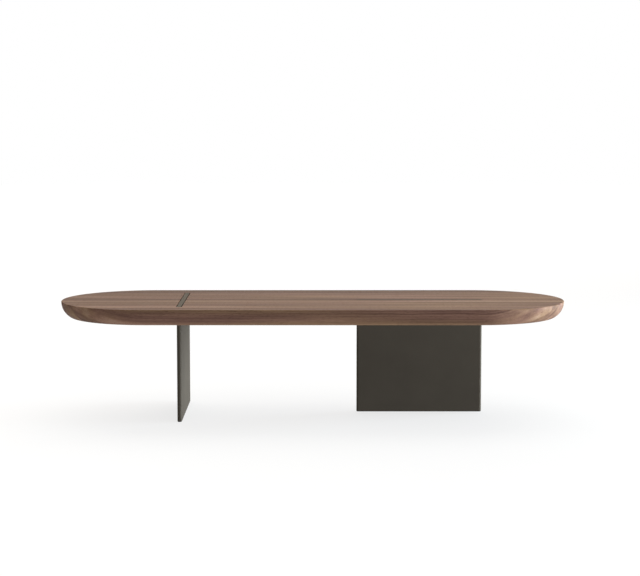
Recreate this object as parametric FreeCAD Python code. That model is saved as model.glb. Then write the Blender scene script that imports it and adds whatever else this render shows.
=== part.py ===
"""Low oblong coffee table: a thick walnut top glued up from boards, carried on two steel blades.

One blade runs across the table and one runs along it. Each passes through a slot in the top and ends
flush with the upper face. A plate welded round the blade is let into the underside and carries the top.

Frame: millimetres, +X along the table, +Z up, origin on the floor under the middle of the top.
"""
import FreeCAD
import Part

import math
import os

# Top
TOP_LENGTH = 1600.0
TOP_WIDTH = 570.0
TOP_THICKNESS = 50.0
TABLE_HEIGHT = 360.0
EDGE_INSET = 30.0  # how far the round under-edge has drawn in where it reaches the underside
ARRIS = 1.5  # small flat that breaks the rim of the upper face
KEEL_RADIUS = 8.0  # softened line where the round edge meets the flat underside
BOARD_NAMES = ("front", "front_middle", "centre", "rear_middle", "rear")

# Blades
BLADE_WIDTH = 400.0
BLADE_THICKNESS = 14.0
BLADE_EDGE_BREAK = 0.6
ACROSS_BLADE_INSET = 387.0  # from the left end of the top to the middle of the blade
ALONG_BLADE_INSET = 260.0  # from the right end of the top to the near edge of the blade
SLOT_GAP = 2.0  # shadow gap round a blade where it passes through the wood

# Mounting plates
PLATE_END_MARGIN = 20.0  # plate beyond the edge of the blade
PLATE_FLANGE = 38.0  # plate beyond each face of the blade
PLATE_THICKNESS = 6.0
PLATE_CORNER = 12.0
POCKET_GAP = 1.0  # wood clear of the rim of a let-in plate
WELD_LEG = 4.0  # size of the bead that joins a blade to the lower face of its plate
WELD_TOE = 0.4  # thickness that the bead ends with on the blade

# Screw holes in the plates
SCREW_HOLE_DIAMETER = 6.6
SCREW_SIDE_MARGIN = 15.0  # from the long side of a plate to its row of screws
SCREW_END_MARGIN = 20.0  # from the end of a plate to its outer screws
SCREW_PITCH_LIMIT = 140.0  # screws of a row along the grain stand no farther apart
WOOD_MOVEMENT = 6.0  # extra length of a hole that lets the boards swell and shrink

# Floor strips
STRIP_INSET = 1.0  # strip set back from the outline of the blade
STRIP_THICKNESS = 1.5

# Places worked out from the sizes
UNDERSIDE_Z = TABLE_HEIGHT - TOP_THICKNESS
END_RADIUS = TOP_WIDTH / 2
END_CENTRE_X = TOP_LENGTH / 2 - END_RADIUS
BOARD_WIDTH = TOP_WIDTH / len(BOARD_NAMES)
PLATE_LENGTH = BLADE_WIDTH + 2 * PLATE_END_MARGIN
PLATE_WIDTH = BLADE_THICKNESS + 2 * PLATE_FLANGE
ACROSS_BLADE_X = ACROSS_BLADE_INSET - TOP_LENGTH / 2
ALONG_BLADE_X = TOP_LENGTH / 2 - ALONG_BLADE_INSET - BLADE_WIDTH / 2
PLATE_TOP_Z = UNDERSIDE_Z + PLATE_THICKNESS
SCREW_ROW_Y = PLATE_WIDTH / 2 - SCREW_SIDE_MARGIN

TOUCHING = 1e-6  # lengths below this count as nothing
UP = FreeCAD.Vector(0, 0, 1)
ORIGIN = FreeCAD.Vector(0, 0, 0)


def point(x, y, z=0.0):
    return FreeCAD.Vector(x, y, z)


def arc_about(centre, radius, start_degrees, end_degrees, upright=False):
    """Arc edge from one angle to another, in the XY plane or, if upright, in the XZ plane."""

    def at(degrees):
        across = radius * math.cos(math.radians(degrees))
        rise = radius * math.sin(math.radians(degrees))
        return centre + (point(across, 0, rise) if upright else point(across, rise))

    middle = (start_degrees + end_degrees) / 2
    return Part.Arc(at(start_degrees), at(middle), at(end_degrees)).toShape()


def joined_face(edges):
    """Face inside a ring of edges, with straight lines put in wherever one edge stops short of the next."""
    ring = []
    for edge, following in zip(edges, edges[1:] + edges[:1]):
        ring.append(edge)
        here = edge.valueAt(edge.LastParameter)
        there = following.valueAt(following.FirstParameter)
        if here.distanceToPoint(there) > TOUCHING:
            ring.append(Part.LineSegment(here, there).toShape())
    return Part.Face(Part.Wire(ring))


def rounded_outline(length, width, corner, z):
    """Level rectangle with round corners, centred on Z, its length along X."""
    reach_x = length / 2 - corner
    reach_y = width / 2 - corner
    turns = ((1, 1, 0), (-1, 1, 90), (-1, -1, 180), (1, -1, 270))
    return joined_face([
        arc_about(point(side_x * reach_x, side_y * reach_y, z), corner, start, start + 90)
        for side_x, side_y, start in turns
    ])


def rounded_prism(length, width, corner, low_z, high_z):
    return rounded_outline(length, width, corner, low_z).extrude(UP * (high_z - low_z))


def pill_prism(length, width, low_z, high_z):
    return rounded_prism(length, width, width / 2, low_z, high_z)


def even_stations(reach, pitch_limit):
    """Evenly spaced places from -reach to +reach, with no gap longer than the limit."""
    gaps = math.ceil(2 * reach / pitch_limit)
    return [-reach + 2 * reach * step / gaps for step in range(gaps + 1)]


class Leg:
    """One blade and what belongs to it: where it stands, which way it runs and where its screws are.

    Stations are places along the blade. At a round station the plate is fixed to its board, and at a
    long station the board can swell and shrink under the screw.
    """

    def __init__(self, name, centre_x, turn, round_stations, long_stations):
        self.name = name
        self.centre_x = centre_x
        self.turn = turn
        self.round_places = both_rows(round_stations)
        self.long_places = both_rows(long_stations)

    def placed(self, shape):
        """A shape drawn with the blade along X through the origin, moved to where the leg stands."""
        shape = shape.copy()
        shape.rotate(ORIGIN, UP, self.turn)
        shape.translate(point(self.centre_x, 0))
        return shape


def both_rows(stations):
    return [(station, side * SCREW_ROW_Y) for station in stations for side in (-1, 1)]


# Across the grain each board has its own screws; the outer ones reach into the outermost boards.
OUTER_STATION = PLATE_LENGTH / 2 - SCREW_END_MARGIN
LEGS = (
    Leg("across", ACROSS_BLADE_X, 90,
        round_stations=[0.0], long_stations=[-OUTER_STATION, -BOARD_WIDTH, BOARD_WIDTH, OUTER_STATION]),
    Leg("along", ALONG_BLADE_X, 0,
        round_stations=even_stations(OUTER_STATION, SCREW_PITCH_LIMIT), long_stations=[]),
)


# Walnut top

def edge_section():
    """Half section of the top in the XZ plane, from its middle line out to the rim."""
    # The main arc leaves the rim upright and has drawn in by the inset when it reaches the underside.
    edge_depth = TOP_THICKNESS - ARRIS
    edge_radius = (edge_depth ** 2 + EDGE_INSET ** 2) / (2 * EDGE_INSET)
    edge_centre = point(END_RADIUS - edge_radius, 0, TABLE_HEIGHT - ARRIS)
    # The keel arc touches the underside and the inside of the main arc.
    drop = edge_depth - KEEL_RADIUS
    reach = math.sqrt((edge_radius - KEEL_RADIUS) ** 2 - drop ** 2)
    keel_centre = edge_centre + point(reach, 0, -drop)
    keel_turn = -math.degrees(math.atan2(drop, reach))
    upper_face = Part.LineSegment(point(END_RADIUS - ARRIS, 0, TABLE_HEIGHT), point(0, 0, TABLE_HEIGHT))
    middle_line = Part.LineSegment(point(0, 0, TABLE_HEIGHT), point(0, 0, UNDERSIDE_Z))
    return joined_face([
        upper_face.toShape(),
        middle_line.toShape(),
        arc_about(keel_centre, KEEL_RADIUS, -90, keel_turn, upright=True),
        arc_about(edge_centre, edge_radius, keel_turn, 0, upright=True),
    ])


def top_blank():
    """The glued-up top before any slot or pocket is cut: a straight run with a half-round end each side."""
    section = edge_section()
    section.rotate(ORIGIN, UP, -90)
    round_end = section.revolve(ORIGIN, UP, 180)
    round_end.translate(point(END_CENTRE_X, 0))
    half_run = section.extrude(point(2 * END_CENTRE_X, 0))
    half_run.translate(point(-END_CENTRE_X, 0))
    half = round_end.fuse(half_run)
    other_half = half.copy()
    other_half.rotate(ORIGIN, UP, 180)
    return half.fuse(other_half).removeSplitter()


def slot_and_pocket(leg):
    """What is cut from the top for one leg: its through slot and its plate's pocket."""
    slot = pill_prism(BLADE_WIDTH + 2 * SLOT_GAP, BLADE_THICKNESS + 2 * SLOT_GAP,
                      UNDERSIDE_Z - SLOT_GAP, TABLE_HEIGHT + SLOT_GAP)
    pocket = rounded_prism(PLATE_LENGTH + 2 * POCKET_GAP, PLATE_WIDTH + 2 * POCKET_GAP,
                           PLATE_CORNER + POCKET_GAP, UNDERSIDE_Z - POCKET_GAP, PLATE_TOP_Z)
    return [leg.placed(slot), leg.placed(pocket)]


def top_boards():
    """The top cut for its legs, then parted along the glue lines into named boards."""
    cutters = [cutter for leg in LEGS for cutter in slot_and_pocket(leg)]
    top = top_blank().cut(cutters)
    boards = {}
    for number, name in enumerate(BOARD_NAMES):
        low_y = number * BOARD_WIDTH - TOP_WIDTH / 2
        corner = point(-TOP_LENGTH / 2, low_y, UNDERSIDE_Z)
        strip = Part.makeBox(TOP_LENGTH, BOARD_WIDTH, TOP_THICKNESS, corner)
        lengths = sorted(top.common(strip).Solids, key=lambda solid: solid.CenterOfMass.x)
        # The slot across the table parts the middle boards into a short end and a long length.
        suffixes = ("",) if len(lengths) == 1 else ("_end", "_long")
        for suffix, length in zip(suffixes, lengths):
            boards[f"top_board_{name}{suffix}"] = length
    return boards


# Blades, their floor strips and their plates

def blade():
    """Steel plate with full-round upright edges, its foot and its head lightly broken all round."""
    body = pill_prism(BLADE_WIDTH, BLADE_THICKNESS, STRIP_THICKNESS, TABLE_HEIGHT)
    rims = [edge for edge in body.Edges if edge.BoundBox.ZLength < TOUCHING]
    return body.makeChamfer(BLADE_EDGE_BREAK, rims)


def floor_strip():
    """Nylon strip stuck under the foot of a blade, a little smaller than the blade all round."""
    return pill_prism(BLADE_WIDTH - 2 * STRIP_INSET, BLADE_THICKNESS - 2 * STRIP_INSET, 0, STRIP_THICKNESS)


def weld_bead():
    """Fillet weld round the blade, as wide as its leg at the plate and thin where it ends on the blade."""

    def ring(reach, z):
        width = BLADE_THICKNESS + 2 * reach
        return rounded_outline(BLADE_WIDTH + 2 * reach, width, width / 2, z).OuterWire

    return Part.makeLoft([ring(WELD_LEG, UNDERSIDE_Z), ring(WELD_TOE, UNDERSIDE_Z - WELD_LEG)], True, True)


def mounting_plate(leg):
    """Plate and the bead that welds it round the blade; holes that let the boards move are long ones."""
    plate = rounded_prism(PLATE_LENGTH, PLATE_WIDTH, PLATE_CORNER, UNDERSIDE_Z, PLATE_TOP_Z)
    plate = plate.fuse(weld_bead())
    cutters = [pill_prism(BLADE_WIDTH, BLADE_THICKNESS, UNDERSIDE_Z - WELD_LEG, PLATE_TOP_Z)]
    cutters += [screw_hole(SCREW_HOLE_DIAMETER, x, y) for x, y in leg.round_places]
    cutters += [screw_hole(SCREW_HOLE_DIAMETER + WOOD_MOVEMENT, x, y) for x, y in leg.long_places]
    return plate.cut(cutters)


def screw_hole(length, x, y):
    hole = pill_prism(length, SCREW_HOLE_DIAMETER, UNDERSIDE_Z, PLATE_TOP_Z)
    hole.translate(point(x, y))
    return hole


def main():
    nodes = top_boards()
    for leg in LEGS:
        nodes[f"blade_{leg.name}"] = leg.placed(blade())
        nodes[f"mounting_plate_{leg.name}"] = leg.placed(mounting_plate(leg))
        nodes[f"floor_strip_{leg.name}"] = leg.placed(floor_strip())

    os.makedirs("parts", exist_ok=True)
    for name, shape in nodes.items():
        shape.exportStep(f"parts/{name}.step")
        print(name, len(shape.Solids), "solids", round(shape.Volume / 1000, 1), "cm3", shape.isValid())


main()
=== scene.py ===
import math

import bmesh
import bpy
from mathutils import Matrix, Vector


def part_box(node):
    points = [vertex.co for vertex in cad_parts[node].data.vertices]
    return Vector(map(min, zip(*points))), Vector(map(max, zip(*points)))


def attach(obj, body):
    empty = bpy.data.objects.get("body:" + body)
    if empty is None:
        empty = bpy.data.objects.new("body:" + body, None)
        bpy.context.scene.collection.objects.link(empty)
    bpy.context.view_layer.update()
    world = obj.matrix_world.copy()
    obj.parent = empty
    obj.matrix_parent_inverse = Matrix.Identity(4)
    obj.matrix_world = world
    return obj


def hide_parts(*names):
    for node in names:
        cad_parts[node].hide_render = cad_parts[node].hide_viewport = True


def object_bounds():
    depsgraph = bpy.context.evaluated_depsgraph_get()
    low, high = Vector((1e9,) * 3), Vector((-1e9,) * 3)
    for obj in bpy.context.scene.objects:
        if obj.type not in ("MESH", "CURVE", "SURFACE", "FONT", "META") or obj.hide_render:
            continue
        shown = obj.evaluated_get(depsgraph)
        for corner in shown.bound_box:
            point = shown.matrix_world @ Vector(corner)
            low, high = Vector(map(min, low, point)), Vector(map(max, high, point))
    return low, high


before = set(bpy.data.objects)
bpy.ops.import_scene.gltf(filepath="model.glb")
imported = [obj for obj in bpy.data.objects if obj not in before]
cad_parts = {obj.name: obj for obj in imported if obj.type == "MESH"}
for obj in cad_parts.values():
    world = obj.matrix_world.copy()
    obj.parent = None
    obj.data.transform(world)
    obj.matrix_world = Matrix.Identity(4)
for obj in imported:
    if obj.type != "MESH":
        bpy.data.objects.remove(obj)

cad_low, cad_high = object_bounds()


# Walnut top. Five planks edge-glued into one 50 mm slab with half-round ends. Its edge is shaped to one
# long curve that draws in below the rim; two slots go through it for the blades, with shallow pockets in
# the underside for the plates that carry it.
EDGE_INSET = 0.030  # drawn in by this much where the round edge reaches the underside
ARRIS = 0.0015  # small flat along the rim
KEEL_RADIUS = 0.008  # soft line between the round edge and the underside
SLOT_GAP = 0.002  # open joint round a blade
SLOT_EASE = 0.0006  # small bevel round the mouth of a slot
POCKET_GAP = 0.001  # open joint round a plate
POCKET_CORNER = 0.013
PLANKS = ("front", "front_middle", "centre", "rear_middle", "rear")
END_STEPS = 72  # facets of a half-round end
EDGE_STEPS = 14  # facets of the edge's long curve
KEEL_STEPS = 5
WELD_DISTANCE = 2e-5  # points nearer than this are one
SHARP_ANGLE = math.radians(28)  # edges sharper than this stay crisp
LEG_TURNS = {"across": math.pi / 2, "along": 0.0}  # each leg's turn about Z

top_z = cad_high[2]
underside_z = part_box("top_board_front")[0][2]
end_radius = (cad_high[1] - cad_low[1]) / 2
half_run = (cad_high[0] - cad_low[0]) / 2 - end_radius


def only(kind, geometry):
    return [item for item in geometry if isinstance(item, kind)]


def close(shape):
    """Puts a face on every open loop and turns all faces outwards."""
    bmesh.ops.edgeloop_fill(shape, edges=[edge for edge in shape.edges if edge.is_boundary])
    bmesh.ops.recalc_face_normals(shape, faces=shape.faces)


def carry_round(shape, chain, run):
    """Carries a chain of edges once round an oblong track whose half turns are centred at +run and -run."""
    for side in (1, -1):
        chain = bmesh.ops.spin(
            shape, geom=chain, cent=(side * run, 0, 0), axis=(0, 0, 1), angle=math.pi, steps=END_STEPS
        )["geom_last"]
        straight = bmesh.ops.extrude_edge_only(shape, edges=only(bmesh.types.BMEdge, chain))["geom"]
        ends = only(bmesh.types.BMVert, straight)
        bmesh.ops.translate(shape, verts=ends, vec=(-side * 2 * run, 0, 0))
        chain = ends + [edge for edge in only(bmesh.types.BMEdge, straight) if set(edge.verts) <= set(ends)]
    bmesh.ops.remove_doubles(shape, verts=shape.verts, dist=WELD_DISTANCE)
    close(shape)


def oblong(run, corners):
    """Solid with half-round ends, from its section's corners, each given as reach and height."""
    shape = bmesh.new()
    chain = [shape.verts.new((run, -reach, height)) for reach, height in corners]
    chain += [shape.edges.new(pair) for pair in zip(chain, chain[1:])]
    carry_round(shape, chain, run)
    return shape


def place(shape, centre_x, turn):
    """Turns a shape about Z and then moves its middle along X."""
    bmesh.ops.rotate(shape, verts=shape.verts, cent=(0, 0, 0), matrix=Matrix.Rotation(turn, 3, "Z"))
    bmesh.ops.translate(shape, verts=shape.verts, vec=(centre_x, 0, 0))


def made_object(name, shape):
    """Object from a finished shape: flat faces stay flat, curved ones are smooth up to sharp edges."""
    for face in shape.faces:
        face.smooth = max(abs(part) for part in face.normal) < 0.9999
    for edge in shape.edges:
        edge.smooth = edge.calc_face_angle(0) < SHARP_ANGLE
    mesh = bpy.data.meshes.new(name)
    shape.to_mesh(mesh)
    shape.free()
    made = bpy.data.objects.new(name, mesh)
    bpy.context.collection.objects.link(made)
    return made


def legs():
    """Each leg's name, the place of its middle on X and its turn about Z."""
    for leg, turn in LEG_TURNS.items():
        low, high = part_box(f"blade_{leg}")
        yield leg, (low[0] + high[0]) / 2, turn


blade_low, blade_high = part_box("blade_along")
blade_width = blade_high[0] - blade_low[0]
blade_thickness = blade_high[1] - blade_low[1]
plate_low, plate_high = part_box("mounting_plate_along")
plate_length = plate_high[0] - plate_low[0]
plate_width = plate_high[1] - plate_low[1]
plate_top_z = plate_high[2]

edge_depth = top_z - ARRIS - underside_z
edge_radius = (edge_depth ** 2 + EDGE_INSET ** 2) / (2 * EDGE_INSET)
edge_middle = Vector((half_run, edge_radius - end_radius, top_z - ARRIS))
keel_drop = edge_depth - KEEL_RADIUS
keel_reach = math.sqrt((edge_radius - KEEL_RADIUS) ** 2 - keel_drop ** 2)
keel_middle = edge_middle + Vector((0, -keel_reach, -keel_drop))
keel_turn = math.atan2(keel_drop, keel_reach)

slab = bmesh.new()
rim = slab.verts.new((half_run, ARRIS - end_radius, top_z))
brow = slab.verts.new((half_run, -end_radius, top_z - ARRIS))
slab.edges.new((rim, brow))
curve = bmesh.ops.spin(
    slab, geom=[brow], cent=edge_middle, axis=(1, 0, 0), angle=keel_turn, steps=EDGE_STEPS
)
bmesh.ops.spin(
    slab, geom=curve["geom_last"], cent=keel_middle, axis=(1, 0, 0), angle=math.pi / 2 - keel_turn,
    steps=KEEL_STEPS
)
carry_round(slab, slab.verts[:] + slab.edges[:], half_run)
slab = made_object("slab", slab)

for leg, centre_x, turn in legs():
    slot_run = (blade_width - blade_thickness) / 2
    slot_reach = blade_thickness / 2 + SLOT_GAP
    slot = oblong(slot_run, [
        (slot_reach, underside_z - SLOT_GAP),
        (slot_reach, top_z - SLOT_EASE),
        (slot_reach + SLOT_GAP + SLOT_EASE, top_z + SLOT_GAP),
    ])
    pocket = bmesh.new()
    bmesh.ops.create_cube(pocket, size=1)
    pocket_height = 2 * (plate_top_z - underside_z)
    pocket_size = (plate_length + 2 * POCKET_GAP, plate_width + 2 * POCKET_GAP, pocket_height)
    bmesh.ops.scale(pocket, verts=pocket.verts, vec=pocket_size)
    bmesh.ops.translate(pocket, verts=pocket.verts, vec=(0, 0, underside_z))
    upright = [
        edge for edge in pocket.edges if abs(edge.verts[0].co.z - edge.verts[1].co.z) > pocket_height / 2
    ]
    bmesh.ops.bevel(
        pocket, geom=upright, offset=POCKET_CORNER, affect="EDGES", segments=8, profile=0.5, material=-1
    )
    for kind, shape in (("slot", slot), ("pocket", pocket)):
        place(shape, centre_x, turn)
        cut = slab.modifiers.new(f"{kind}_{leg}", "BOOLEAN")
        cut.object = made_object(f"{kind}_{leg}", shape)
        cut.solver = "EXACT"

cut_slab = bpy.data.meshes.new_from_object(slab.evaluated_get(bpy.context.evaluated_depsgraph_get()))
for cut in slab.modifiers:
    bpy.data.objects.remove(cut.object)
bpy.data.objects.remove(slab)


class Pattern:
    """A node's output in a material, which arithmetic extends with Math nodes."""

    def __init__(self, tree, socket=None):
        self.tree = tree
        self.socket = socket

    def add(self, kind, settings, sockets, output=0):
        """A further node: its settings first, then a value or another pattern for each socket."""
        node = self.tree.nodes.new(kind)
        for name, value in settings.items():
            if name == "stops":
                ramp = node.color_ramp.elements
                for number, (position, colour) in enumerate(value):
                    stop = ramp[number] if number < 2 else ramp.new(position)
                    stop.position = position
                    stop.color = (*colour, 1)
            else:
                setattr(node, name, value)
        for name, value in sockets.items():
            if isinstance(value, Pattern):
                self.tree.links.new(value.socket, node.inputs[name])
            else:
                node.inputs[name].default_value = value
        return Pattern(self.tree, node.outputs[output])

    def beside(self, output):
        """Another output of the same node."""
        return Pattern(self.tree, self.socket.node.outputs[output])

    def feeds(self, node, name):
        self.tree.links.new(self.socket, node.inputs[name])

    def math(self, operation, *values):
        return self.add("ShaderNodeMath", {"operation": operation}, dict(enumerate(values)))

    def between(self, low, high):
        """0 below low, 1 above high, smooth from one to the other."""
        settings = {"interpolation_type": "SMOOTHSTEP"}
        return self.add("ShaderNodeMapRange", settings, {"Value": self, "From Min": low, "From Max": high})

    def noise(self, stretch, detail=2.0, shift=(0, 0, 0), output=0):
        """Noise on this place, with so many blotches to the metre along each axis."""
        where = self.add("ShaderNodeMapping", {}, {"Vector": self, "Scale": stretch, "Location": shift})
        return self.add("ShaderNodeTexNoise", {}, {"Vector": where, "Scale": 1.0, "Detail": detail}, output)

    def mixed(self, blend, first, second):
        """Two colours mixed by this factor."""
        settings = {"data_type": "RGBA", "blend_type": blend}
        return self.add("ShaderNodeMix", settings, {0: self, 6: first, 7: second}, 2)

    def __add__(self, other):
        return self.math("ADD", self, other)

    def __sub__(self, other):
        return self.math("SUBTRACT", self, other)

    def __rsub__(self, other):
        return self.math("SUBTRACT", other, self)

    def __mul__(self, other):
        return self.math("MULTIPLY", self, other)

    def __pow__(self, other):
        return self.math("POWER", self, other)

    __radd__ = __add__
    __rmul__ = __mul__


def new_finish(name):
    """A fresh material with its shader and the place of each point of the surface."""
    material = bpy.data.materials.new(name)
    material.use_nodes = True
    tree = material.node_tree
    spot = Pattern(tree).add("ShaderNodeTexCoord", {}, {}, "Object")
    return material, tree.nodes["Principled BSDF"], spot


HEARTWOOD = (
    (0.00, (0.057, 0.030, 0.0213)),
    (0.35, (0.132, 0.0745, 0.0497)),
    (0.65, (0.209, 0.126, 0.0775)),
    (1.00, (0.305, 0.213, 0.147)),
)
MAUVE_CAST = (1.02, 0.97, 1.08, 1)
OLIVE_CAST = (0.99, 1.00, 0.94, 1)
VEIN_BROWN = (0.030, 0.016, 0.010, 1)
RING_WIDTH = 0.0042
LOG_TAPER = 0.007  # growth of the rings' radius along the plank


def walnut(name, pith, along, tone, vein, vein_start):
    """Oiled walnut with rings round a pith line at that Y and Z.

    along picks a log, and tone is its paleness. A dark vein lies at one radius, from vein_start on X.
    """
    material, finish, spot = new_finish(name)
    log = (along, 0, 0)
    axes = spot.add("ShaderNodeSeparateXYZ", {}, {"Vector": spot})
    drift = spot.noise((1.3, 4.0, 4.0), 3.0, log, "Color")
    drift = drift.add("ShaderNodeSeparateColor", {}, {"Color": drift})
    from_pith_y = axes.beside("Y") - pith[0] + (drift - 0.5) * 0.020
    from_pith_z = axes.beside("Z") - pith[1] + (drift.beside("Green") - 0.5) * 0.030
    ripple = (spot.noise((6.0, 16.0, 16.0), 1.0, log) - 0.5) * 0.006
    radius = (from_pith_y * from_pith_y + from_pith_z * from_pith_z) ** 0.5 + axes * LOG_TAPER + ripple
    # Rings: pale early wood that darkens slowly, with a narrow dark line at the end of each year.
    year = radius * (1 / RING_WIDTH) + (spot.noise((3.0, 60.0, 60.0), 1.0, log) - 0.5) * 1.6
    year = year.math("FRACT", year)
    late_wood = year.between(0.35, 0.95) * (1 - year.between(0.95, 1.0))
    # Streaks of pigment follow the rings, broad ones and fine ones, and one dark vein.
    streak = spot.add(
        "ShaderNodeTexNoise", {"noise_dimensions": "1D"},
        {"W": radius + along, "Scale": 11.0, "Detail": 4.0, "Roughness": 0.68},
    )
    from_vein = (radius - vein).math("ABSOLUTE", radius - vein)
    dark_vein = (1 - from_vein.between(0.0004, 0.0022)) * axes.between(vein_start - 0.1, vein_start + 0.1)
    # Figure, fibres and open vessels lie along the plank.
    figure = spot.noise((1.8, 34.0, 34.0), 2.0, log)
    fibre = spot.noise((9.0, 420.0, 420.0), 2.0, log)
    vessel = spot.noise((70.0, 1500.0, 1500.0), 0.0, log).between(0.64, 0.74)
    shade = tone + (streak - 0.5) * 1.75 + (figure - 0.5) * 0.9 + (fibre - 0.5) * 0.35
    shade = shade - dark_vein * 0.20 - late_wood * 0.12
    colour = shade.add("ShaderNodeValToRGB", {"stops": HEARTWOOD}, {"Fac": shade})
    cast = spot.noise((1.5, 22.0, 22.0), 1.0, (along + 13.0, 0, 0)).between(0.3, 0.7)
    tint = cast.mixed("MIX", MAUVE_CAST, OLIVE_CAST)
    colour = colour.add("ShaderNodeVectorMath", {"operation": "MULTIPLY"}, {0: colour, 1: tint})
    (vessel * 0.55).mixed("MIX", colour, VEIN_BROWN).feeds(finish, "Base Color")
    (0.60 + (fibre - 0.5) * 0.20 + vessel * 0.15).feeds(finish, "Roughness")
    finish.inputs["Specular IOR Level"].default_value = 0.05
    relief = (fibre - 0.5) * 0.3 - vessel
    relief.add(
        "ShaderNodeBump", {}, {"Height": relief, "Strength": 0.25, "Distance": 0.0002}
    ).feeds(finish, "Normal")
    return material


# The planks are sawn on the rift and on the quarter: each pith lies far to one side, in front or behind.
PLANK_WOOD = {
    "front": dict(pith=(-0.077, 0.140), along=9.15, tone=0.455, vein=0.2915, vein_start=0.15),
    "front_middle": dict(pith=(0.060, 0.140), along=9.88, tone=0.462, vein=0.300, vein_start=-0.9),
    "centre": dict(pith=(0.330, 0.360), along=7.29, tone=0.535, vein=0.278, vein_start=-0.9),
    "rear_middle": dict(pith=(-0.200, 0.310), along=1.37, tone=0.527, vein=0.330, vein_start=-0.9),
    "rear": dict(pith=(0.620, 0.340), along=13.95, tone=0.350, vein=0.400, vein_start=-0.9),
}
cross_slot_x = next(centre_x for leg, centre_x, turn in legs() if leg == "across")
for plank in PLANKS:
    wood = walnut(f"walnut_{plank}", **PLANK_WOOD[plank])
    lengths = [name for name in sorted(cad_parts) if name in (
        f"top_board_{plank}", f"top_board_{plank}_end", f"top_board_{plank}_long")]
    for node in lengths:
        low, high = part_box(node)
        board = bmesh.new()
        board.from_mesh(cut_slab)
        for side, joint_y in ((-1, low[1]), (1, high[1])):
            if abs(joint_y) < end_radius - ARRIS:
                bmesh.ops.bisect_plane(
                    board, geom=board.verts[:] + board.edges[:] + board.faces[:], plane_co=(0, joint_y, 0),
                    plane_no=(0, side, 0), clear_outer=True
                )
        close(board)
        if len(lengths) == 2:
            far = 1 if node.endswith("_end") else -1
            spare = [vert for vert in board.verts if (vert.co.x - cross_slot_x) * far > 0]
            bmesh.ops.delete(board, geom=spare, context="VERTS")
        board = made_object(f"walnut_{node}", board)
        board.data.materials.clear()
        board.data.materials.append(wood)
        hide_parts(node)
        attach(board, "root")
bpy.data.meshes.remove(cut_slab)


# Blades. Two 14 mm steel plates with full-round upright edges, in a dark bronze metallic powder coat. Each
# is welded to its mounting plate, goes up through its slot in the top and ends flush with the upper face.
EDGE_BREAK = 0.0002  # fine bevel round the foot and the head
BRONZE_GREY = (0.064, 0.0545, 0.0430)

coat, finish, spot = new_finish("bronze_grey_coat")
cloud = spot.noise((9.0, 9.0, 9.0), 3.0)
orange_peel = spot.noise((900.0, 900.0, 900.0), 1.0)
pale_coat = [1.16 * part for part in BRONZE_GREY]
deep_coat = [0.86 * part for part in BRONZE_GREY]
cloud.mixed("MIX", (*deep_coat, 1), (*pale_coat, 1)).feeds(finish, "Base Color")
(0.66 + (cloud - 0.5) * 0.12 + (orange_peel - 0.5) * 0.10).feeds(finish, "Roughness")
finish.inputs["Metallic"].default_value = 0.4
finish.inputs["Specular IOR Level"].default_value = 0.1
finish.inputs["Specular Tint"].default_value = (0.75, 0.71, 0.63, 1)
orange_peel.add(
    "ShaderNodeBump", {}, {"Height": orange_peel, "Strength": 0.18, "Distance": 0.0001}
).feeds(finish, "Normal")

for leg, centre_x, turn in legs():
    foot_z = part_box(f"blade_{leg}")[0][2]
    reach = blade_thickness / 2
    shape = oblong((blade_width - blade_thickness) / 2, [
        (reach - EDGE_BREAK, foot_z),
        (reach, foot_z + EDGE_BREAK),
        (reach, top_z - EDGE_BREAK),
        (reach - EDGE_BREAK, top_z),
    ])
    place(shape, centre_x, turn)
    blade = made_object(f"steel_blade_{leg}", shape)
    blade.data.materials.append(coat)
    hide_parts(f"blade_{leg}")
    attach(blade, "root")


# Mounting plates. Flat steel bars welded round the blades and coated with them, let into the underside
# of the top. Long holes let the planks swell and shrink under their screws.
for leg in LEG_TURNS:
    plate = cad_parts[f"mounting_plate_{leg}"]
    plate.data.materials.clear()
    plate.data.materials.append(coat)


# Plate screws. Flanged button-head screws with a hexagon socket, coated like the plates. They go up
# through the plates into the planks; the flange is wide enough to cover a long hole.
SIDE_MARGIN = 0.015  # from the long side of a plate to its row of screws
END_MARGIN = 0.020  # from the end of a plate to its outer screws
SHANK_RADIUS = 0.003
HEAD_RADIUS = 0.00525
HEAD_HEIGHT = 0.0032
FLANGE_RADIUS = 0.008
FLANGE_THICKNESS = 0.0012
SOCKET_RADIUS = 0.0023  # to a corner of the hexagon
SOCKET_DEPTH = 0.002
SCREW_STEPS = 24

seat_z = underside_z - FLANGE_THICKNESS
crown_z = seat_z - HEAD_HEIGHT
screw_shape = bmesh.new()
chain = [screw_shape.verts.new((reach, 0, height)) for reach, height in (
    (SOCKET_RADIUS, crown_z),
    (0.55 * HEAD_RADIUS, crown_z + 0.06 * HEAD_HEIGHT),
    (0.80 * HEAD_RADIUS, crown_z + 0.28 * HEAD_HEIGHT),
    (0.95 * HEAD_RADIUS, crown_z + 0.62 * HEAD_HEIGHT),
    (HEAD_RADIUS, seat_z),
    (FLANGE_RADIUS - FLANGE_THICKNESS / 2, seat_z),
    (FLANGE_RADIUS, seat_z + FLANGE_THICKNESS / 2),
    (FLANGE_RADIUS, underside_z),
    (SHANK_RADIUS, underside_z),
    (SHANK_RADIUS, plate_top_z),
)]
chain += [screw_shape.edges.new(pair) for pair in zip(chain, chain[1:])]
bmesh.ops.spin(
    screw_shape, geom=chain, cent=(0, 0, 0), axis=(0, 0, 1), angle=2 * math.pi, steps=SCREW_STEPS,
    use_merge=True
)
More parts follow.
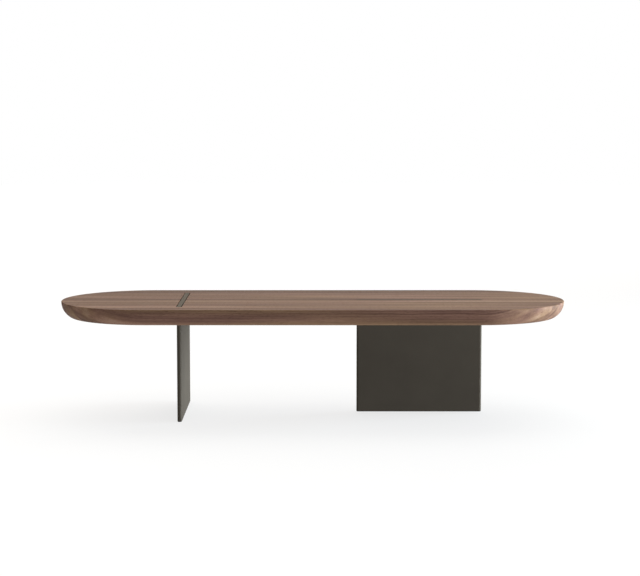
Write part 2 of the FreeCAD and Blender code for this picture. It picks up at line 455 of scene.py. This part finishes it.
# The round hole in the crown is drawn in to a hexagon and sunk to make the socket.
mouth = [edge for edge in screw_shape.edges if edge.is_boundary and edge.verts[0].co.z < seat_z]
for vert in {vert for edge in mouth for vert in edge.verts}:
    past_corner = math.atan2(vert.co.y, vert.co.x) % (math.pi / 3)
    vert.co.xy *= math.cos(math.pi / 6) / math.cos(past_corner - math.pi / 6)
bottom = bmesh.ops.extrude_edge_only(screw_shape, edges=mouth)["geom"]
bmesh.ops.translate(screw_shape, verts=only(bmesh.types.BMVert, bottom), vec=(0, 0, SOCKET_DEPTH))
close(screw_shape)
screw_mesh = bpy.data.meshes.new("screw")
screw_shape.to_mesh(screw_mesh)
screw_shape.free()

row_y = plate_width / 2 - SIDE_MARGIN
outer = plate_length / 2 - END_MARGIN
plank_width = 2 * end_radius / len(PLANKS)
STATIONS = {
    "across": (-outer, -plank_width, 0.0, plank_width, outer),
    "along": (-outer, -outer / 3, outer / 3, outer),
}
for leg, centre_x, turn in legs():
    group = bmesh.new()
    for station in STATIONS[leg]:
        for side in (-1, 1):
            before = len(group.verts)
            group.from_mesh(screw_mesh)
            group.verts.ensure_lookup_table()
            bmesh.ops.translate(group, verts=group.verts[before:], vec=(station, side * row_y, 0))
    place(group, centre_x, turn)
    screws = made_object(f"plate_screws_{leg}", group)
    screws.data.materials.append(coat)
    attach(screws, "root")
bpy.data.meshes.remove(screw_mesh)


# Floor strips. Black nylon, 1.5 mm thick and a little smaller than the foot of a blade. They are stuck
# under the blades so that the steel does not mark the floor.
nylon, finish, spot = new_finish("black_nylon")
grain = spot.noise((600.0, 600.0, 600.0), 2.0)
grain.mixed("MIX", (0.018, 0.018, 0.018, 1), (0.034, 0.033, 0.032, 1)).feeds(finish, "Base Color")
(0.55 + (grain - 0.5) * 0.2).feeds(finish, "Roughness")
for leg in LEG_TURNS:
    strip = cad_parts[f"floor_strip_{leg}"]
    strip.data.materials.clear()
    strip.data.materials.append(nylon)


# Studio. A wide pale floor that glows, with broad warm lamps above and behind the table and cool soft boxes
# low at its right; the camera stands well back with a long lens, a little above the top.
FLOOR_RADIUS = 14.0
# Painted light: the floor's glow is emission, not a lamp; it lifts the floor's shadows and also lights the
# table from below.
FLOOR_GLOW = 0.82  # the floor is lit from within, which keeps its shadows pale
BOX_POOL = (3.5, 0.3, 0)  # middle of the floor that the soft boxes light
POOL_REACH = (1.8, 5.5)  # their light fades between these distances
# Painted shade: the glow is dimmed where the soft boxes light the floor, which cancels their pool of light.
POOL_GLOW = (0.84, 0.84, 0.84, 1)  # the glow is weaker in the pool, so that the floor looks even
FULL_GLOW = (1, 1, 1, 1)
WARM = (1.04, 1.0, 0.94)  # lamps above and behind
COOL = (0.88, 1.0, 1.10)  # soft boxes at the right
AIM = (0.5, 0, 0.3)  # what the soft boxes face: the right half of the table

floor_shape = bmesh.new()
bmesh.ops.create_circle(floor_shape, cap_ends=True, radius=FLOOR_RADIUS, segments=96)
floor = made_object("studio_floor", floor_shape)
pale, finish, spot = new_finish("pale_floor")
cloud = spot.noise((2.0, 2.0, 2.0), 2.0)
cloud.mixed("MIX", (0.181, 0.181, 0.181, 1), (0.189, 0.189, 0.189, 1)).feeds(finish, "Base Color")
finish.inputs["Roughness"].default_value = 0.9
finish.inputs["Specular IOR Level"].default_value = 0.0
from_pool = spot.add("ShaderNodeVectorMath", {"operation": "DISTANCE"}, {0: spot, 1: BOX_POOL}, "Value")
from_pool.between(*POOL_REACH).mixed("MIX", POOL_GLOW, FULL_GLOW).feeds(finish, "Emission Color")
finish.inputs["Emission Strength"].default_value = FLOOR_GLOW
floor.data.materials.append(pale)


def wide_light(name, bearing, height, spread, strength):
    """Even light from a wide disc of sky: bearing from +X towards +Y, height and spread in degrees."""
    lamp = bpy.data.lights.new(name, "SUN")
    lamp.energy = strength
    lamp.color = WARM
    lamp.angle = math.radians(spread)
    light = bpy.data.objects.new(name, lamp)
    light.rotation_euler = (0, math.radians(90 - height), math.radians(bearing))
    bpy.context.collection.objects.link(light)


def soft_box(name, spot, size, watts):
    """Rectangular soft box at that spot."""
    lamp = bpy.data.lights.new(name, "AREA")
    lamp.shape = "RECTANGLE"
    lamp.size, lamp.size_y = size
    lamp.energy = watts
    lamp.color = COOL
    light = bpy.data.objects.new(name, lamp)
    light.location = spot
    light.rotation_euler = (Vector(AIM) - Vector(spot)).to_track_quat("-Z", "Y").to_euler()
    light.visible_camera = False
    bpy.context.collection.objects.link(light)


wide_light("overhead", 0, 90, 100, 1.72)
wide_light("from_behind", 88, 47, 60, 1.93)
wide_light("low_behind", 92, 27, 45, 0.17)
wide_light("behind_right", 62, 32, 35, 0.25)
soft_box("right", (3.6, 0.7, 0.50), (2.4, 0.8), 305)
soft_box("low_right", (3.4, -0.9, 0.28), (2.0, 0.5), 65)
soft_box("low_front", (3.0, -2.6, 0.3), (2.0, 0.5), 38)

# A white backdrop that only the camera sees.
world = bpy.data.worlds.new("studio_world")
world.use_nodes = True
walls = world.node_tree.nodes["Background"]
Pattern(world.node_tree).add("ShaderNodeLightPath", {}, {}, "Is Camera Ray").feeds(walls, "Strength")
walls.inputs["Color"].default_value = (1, 1, 1, 1)
bpy.context.scene.world = world

lens = bpy.data.cameras.new("camera")
lens.lens = 108.06
lens.sensor_width = 36
lens.clip_end = 60
camera = bpy.data.objects.new("camera", lens)
camera.location = (0.0233, -6.0912, 1.0512)
camera.rotation_euler = (math.radians(83.875), 0, 0)
bpy.context.collection.objects.link(camera)
bpy.context.scene.camera = camera
bpy.context.scene.view_settings.view_transform = "Standard"
